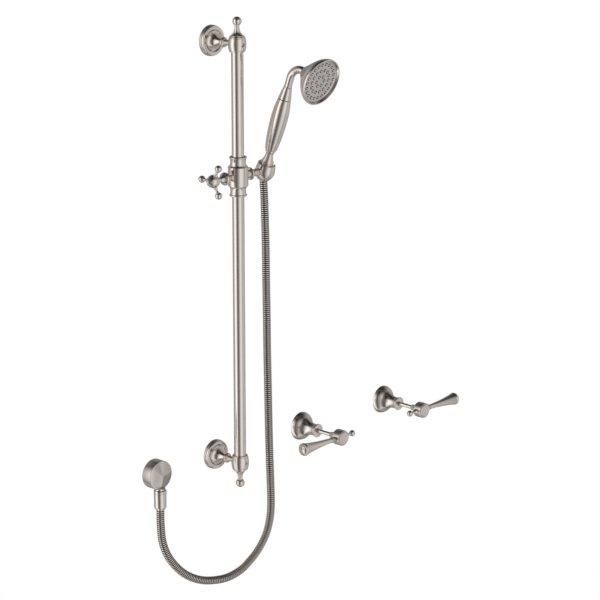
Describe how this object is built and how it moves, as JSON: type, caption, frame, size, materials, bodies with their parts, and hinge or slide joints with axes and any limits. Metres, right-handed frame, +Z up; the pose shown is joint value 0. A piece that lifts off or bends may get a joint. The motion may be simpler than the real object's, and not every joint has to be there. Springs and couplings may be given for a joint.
{
  "type": "rail shower set",
  "caption": "Traditional brushed nickel slide rail with clamping slider, tilting cradle, hand shower on a metal hose, wall outlet elbow and separate lever wall taps.",
  "frame": {"origin": "centre of the upper wall plate's back face, on the finished wall", "axes": "+X to the right along the wall, +Y into the wall, +Z up"},
  "size_m": [0.7632, 0.2379, 1.0643],
  "materials": {
    "nickel": "warm brushed nickel plating on brass",
    "hose_steel": "interlocked metal hose, satin",
    "brass": "plain machined brass, hidden",
    "steel": "plain stainless steel",
    "nylon": "natural white nylon",
    "rubber": "black rubber",
    "silicone": "grey silicone"
  },
  "bodies": {
    "wall_set": {"rail_tube": "nickel", "upper_bracket": "nickel", "lower_bracket": "nickel", "upper_post": "nickel", "lower_post": "nickel", "upper_flange": "nickel", "lower_flange": "nickel", "upper_wall_plate": "steel", "lower_wall_plate": "steel", "upper_top_screw": "steel", "upper_bottom_screw": "steel", "lower_top_screw": "steel", "lower_bottom_screw": "steel", "upper_finial": "nickel", "lower_finial": "nickel", "upper_grub_screw": "steel", "lower_grub_screw": "steel", "hose_elbow_nut": "nickel", "hose_elbow_washer": "rubber", "elbow_body": "nickel", "elbow_wall_spigot": "brass", "hose": "hose_steel", "left_tap_flange": "nickel", "left_headgear": "brass", "right_tap_flange": "nickel", "right_headgear": "brass"},
    "slider_sleeve": {"slider_liner": "nylon"},
    "slider": {"slider_body": "nickel", "holder_arm": "nickel", "cradle_washer": "nylon", "cradle_pivot_screw": "steel"},
    "clamp_pad": {"clamp_pad": "nylon"},
    "clamp_knob": {"clamp_spindle": "brass", "knob_skirt": "nickel", "knob_hub": "nickel", "knob_spoke_1": "nickel", "knob_spoke_2": "nickel", "knob_spoke_3": "nickel"},
    "cradle": {"cradle_cup": "nickel"},
    "handset": {"hose_cone_nut": "nickel", "inlet_washer": "rubber", "handset_inlet": "nickel", "grip": "nickel", "grip_water_tube": "nylon", "grip_ferrule": "nickel", "neck_tube": "nickel", "head_shell": "nickel", "head_seal": "rubber", "face_plate": "nickel", "nozzle_mat": "silicone"},
    "left_tap": {"left_spindle": "brass", "left_hub": "nickel", "left_hub_cap": "nickel", "left_lever": "nickel", "left_finial": "nickel"},
    "right_tap": {"right_spindle": "brass", "right_hub": "nickel", "right_hub_cap": "nickel", "right_lever": "nickel", "right_finial": "nickel"}
  },
  "joints": [
    {"name": "slider_slide", "type": "slide", "parent": "wall_set", "child": "slider_sleeve", "axis": [0, 0, 1], "range_m": [-0.47, 0.17], "deforming": ["hose"]},
    {"name": "slider_swivel", "type": "hinge", "parent": "slider_sleeve", "child": "slider", "pos_m": [0, -0.0681, -0.2375], "axis": [0, 0, 1], "range_deg": [-30, 40]},
    {"name": "clamp_travel", "type": "slide", "parent": "slider", "child": "clamp_pad", "axis": [-1, 0, 0], "range_m": [0, 0.00075]},
    {"name": "clamp_turn", "type": "hinge", "parent": "clamp_pad", "child": "clamp_knob", "pos_m": [-0.0628, -0.0681, -0.2375], "axis": [-1, 0, 0], "range_deg": [0, 270]},
    {"name": "cradle_tilt", "type": "hinge", "parent": "slider", "child": "cradle", "pos_m": [0.069, -0.0681, -0.2375], "axis": [1, 0, 0], "range_deg": [-35, 35]},
    {"name": "handset_lift", "type": "slide", "parent": "cradle", "child": "handset", "axis": [0, -0.3396, 0.9406], "range_m": [0, 0.04]},
    {"name": "left_lever_turn", "type": "hinge", "parent": "wall_set", "child": "left_tap", "pos_m": [0.2346, -0.104, -0.778], "axis": [0, -1, 0], "range_deg": [0, 90]},
    {"name": "right_lever_turn", "type": "hinge", "parent": "wall_set", "child": "right_tap", "pos_m": [0.4726, -0.104, -0.778], "axis": [0, 1, 0], "range_deg": [0, 90]}
  ],
  "couplings": [
    {"joint": "clamp_travel", "follows": "clamp_turn", "m_per_rad": 0.00015915}
  ]
}
